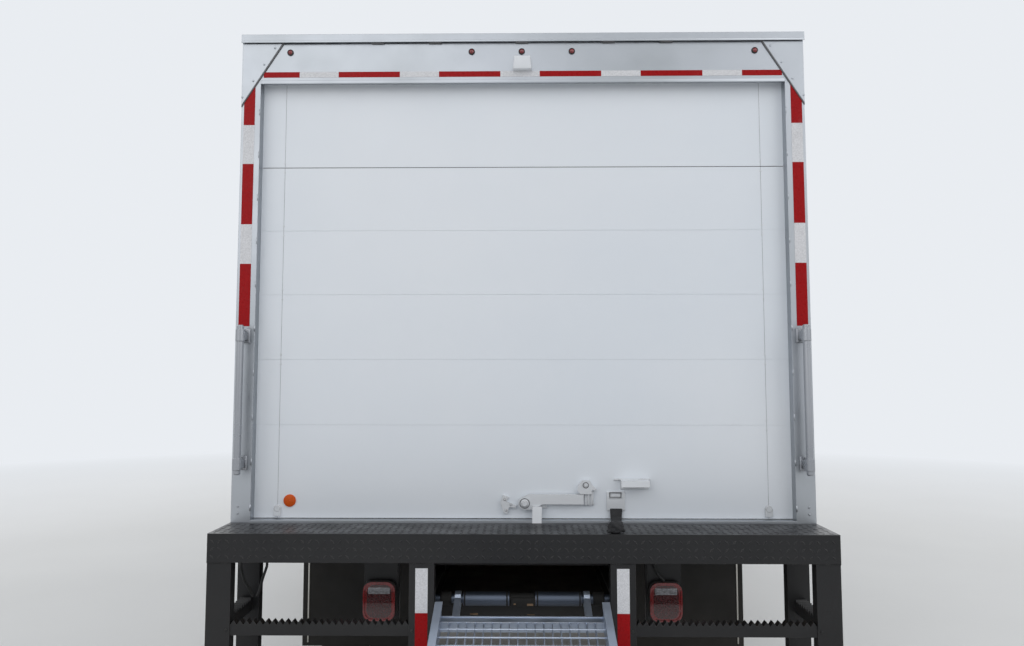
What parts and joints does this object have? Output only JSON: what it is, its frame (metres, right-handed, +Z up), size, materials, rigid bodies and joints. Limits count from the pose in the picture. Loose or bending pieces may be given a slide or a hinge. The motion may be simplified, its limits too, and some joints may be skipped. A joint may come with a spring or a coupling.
{
  "type": "box truck with a pull-out loading ramp",
  "caption": "Long-nose box truck with a closed cargo box, roll-up rear door, black step bumper and an aluminium loading ramp pulled out to the ground.",
  "frame": {"origin": "on the ground under the middle of the bounding box, ramp included", "axes": "+Z up, +Y forward to the front bumper, +X to the truck's right side"},
  "size_m": [2.8, 10.2078, 3.319],
  "materials": {
    "door_white": "gloss white enamel, slightly cool",
    "stainless": "polished stainless sheet, soft reflections",
    "cab_white": "gloss white cab paint",
    "chassis_black": "satin black chassis paint",
    "bumper_black": "satin black over tread plate",
    "ramp_aluminium": "mill aluminium, lightly scuffed",
    "box_aluminium": "white sheet sides with aluminium rails",
    "roof_sheet": "plain roof sheet",
    "floor_plank": "oiled hardwood planks on painted channels",
    "tyre": "matt black tread rubber",
    "rim": "white painted steel disc wheels",
    "axle_iron": "black painted castings",
    "spring_steel": "black spring leaves",
    "tank_aluminium": "bright tank sheet",
    "exhaust_steel": "aluminised pipe, dull",
    "flap_rubber": "black rubber sheet",
    "red_lens": "red lens",
    "amber_lens": "marker lenses",
    "clear_lens": "clear headlamp lens over a bright reflector",
    "glass": "green-tinted safety glass",
    "cab_plastic": "grained dark grey plastic",
    "seat_fabric": "grey woven seat cloth",
    "wheel_plastic": "black moulded steering wheel",
    "radiator_core": "finned core",
    "engine_block": "cast block",
    "polished_tube": "polished tube",
    "mirror_shell": "black mirror shell"
  },
  "bodies": {
    "truck": {"chassis_frame": "chassis_black", "engine": "engine_block", "radiator": "radiator_core", "front_axle": "axle_iron", "rear_axle": "axle_iron", "leaf_springs": "spring_steel", "fuel_tank": "tank_aluminium", "cab_steps": "chassis_black", "exhaust": "exhaust_steel", "mud_flaps": "flap_rubber", "tail_lamps": "red_lens", "step_bumper": "bumper_black", "bumper_deck": "bumper_black", "ramp_tracks": "chassis_black", "ramp_carriage": "ramp_aluminium", "cab_floor": "cab_plastic", "cab_back_wall": "cab_white", "cab_roof": "cab_white", "cab_side_left": "cab_white", "cab_side_right": "cab_white", "cab_front": "cab_white", "windshield": "glass", "dashboard": "cab_plastic", "seats": "seat_fabric", "front_bumper": "polished_tube", "cargo_floor": "floor_plank", "cargo_front_wall": "box_aluminium", "cargo_side_left": "box_aluminium", "cargo_side_right": "box_aluminium", "cargo_roof": "roof_sheet", "rear_frame": "stainless", "rollup_door": "door_white", "door_latch": "door_white", "grab_handles": "polished_tube", "marker_lamps": "red_lens"},
    "hood": {"hood": "cab_white", "grille": "polished_tube", "headlamps": "clear_lens"},
    "door_left": {"door_left": "cab_white", "door_glass_left": "glass", "mirror_left": "mirror_shell"},
    "door_right": {"door_right": "cab_white", "door_glass_right": "glass", "mirror_right": "mirror_shell"},
    "knuckle_left": {"knuckle_left": "axle_iron"},
    "knuckle_right": {"knuckle_right": "axle_iron"},
    "front_wheel_left": {"front_tyre_left": "tyre", "front_rim_left": "rim"},
    "front_wheel_right": {"front_tyre_right": "tyre", "front_rim_right": "rim"},
    "rear_wheels_left": {"rear_tyres_left": "tyre", "rear_rims_left": "rim"},
    "rear_wheels_right": {"rear_tyres_right": "tyre", "rear_rims_right": "rim"},
    "ramp": {"ramp_frame": "ramp_aluminium", "ramp_grating": "ramp_aluminium"},
    "steering_wheel": {"steering_wheel": "wheel_plastic"}
  },
  "joints": [
    {"name": "hood_tilt", "type": "hinge", "parent": "truck", "child": "hood", "pos_m": [0, 4.9926, 0.74], "axis": [-1, 0, 0], "range_deg": [0, 70]},
    {"name": "door_left_hinge", "type": "hinge", "parent": "truck", "child": "door_left", "pos_m": [-1.054, 3.6276, 1.2], "axis": [0, 0, -1], "range_deg": [0, 65]},
    {"name": "door_right_hinge", "type": "hinge", "parent": "truck", "child": "door_right", "pos_m": [1.054, 3.6276, 1.2], "axis": [0, 0, 1], "range_deg": [0, 65]},
    {"name": "steer_left", "type": "hinge", "parent": "truck", "child": "knuckle_left", "pos_m": [-0.88, 4.2526, 0.465], "axis": [0, 0, 1], "range_deg": [-35, 35]},
    {"name": "steer_right", "type": "hinge", "parent": "truck", "child": "knuckle_right", "pos_m": [0.88, 4.2526, 0.465], "axis": [0, 0, 1], "range_deg": [-35, 35]},
    {"name": "steering_wheel_turn", "type": "hinge", "parent": "truck", "child": "steering_wheel", "pos_m": [-0.48, 3.2526, 1.6], "axis": [0, -0.5299, 0.848], "range_deg": [-630, 630]},
    {"name": "front_wheel_left_spin", "type": "hinge", "parent": "knuckle_left", "child": "front_wheel_left", "pos_m": [-1.02, 4.2526, 0.465], "axis": [1, 0, 0], "continuous": true},
    {"name": "front_wheel_right_spin", "type": "hinge", "parent": "knuckle_right", "child": "front_wheel_right", "pos_m": [1.02, 4.2526, 0.465], "axis": [1, 0, 0], "continuous": true},
    {"name": "rear_wheels_left_spin", "type": "hinge", "parent": "truck", "child": "rear_wheels_left", "pos_m": [-0.9475, -1.0274, 0.465], "axis": [1, 0, 0], "continuous": true},
    {"name": "rear_wheels_right_spin", "type": "hinge", "parent": "truck", "child": "rear_wheels_right", "pos_m": [0.9475, -1.0274, 0.465], "axis": [1, 0, 0], "continuous": true},
    {"name": "ramp_tilt", "type": "hinge", "parent": "truck", "child": "ramp", "pos_m": [0, -2.7544, 0.798], "axis": [-1, 0, 0], "range_deg": [0, 19.1]}
  ],
  "couplings": [
    {"joint": "steer_right", "follows": "steer_left", "ratio": 1},
    {"joint": "steering_wheel_turn", "follows": "steer_left", "ratio": 18}
  ]
}
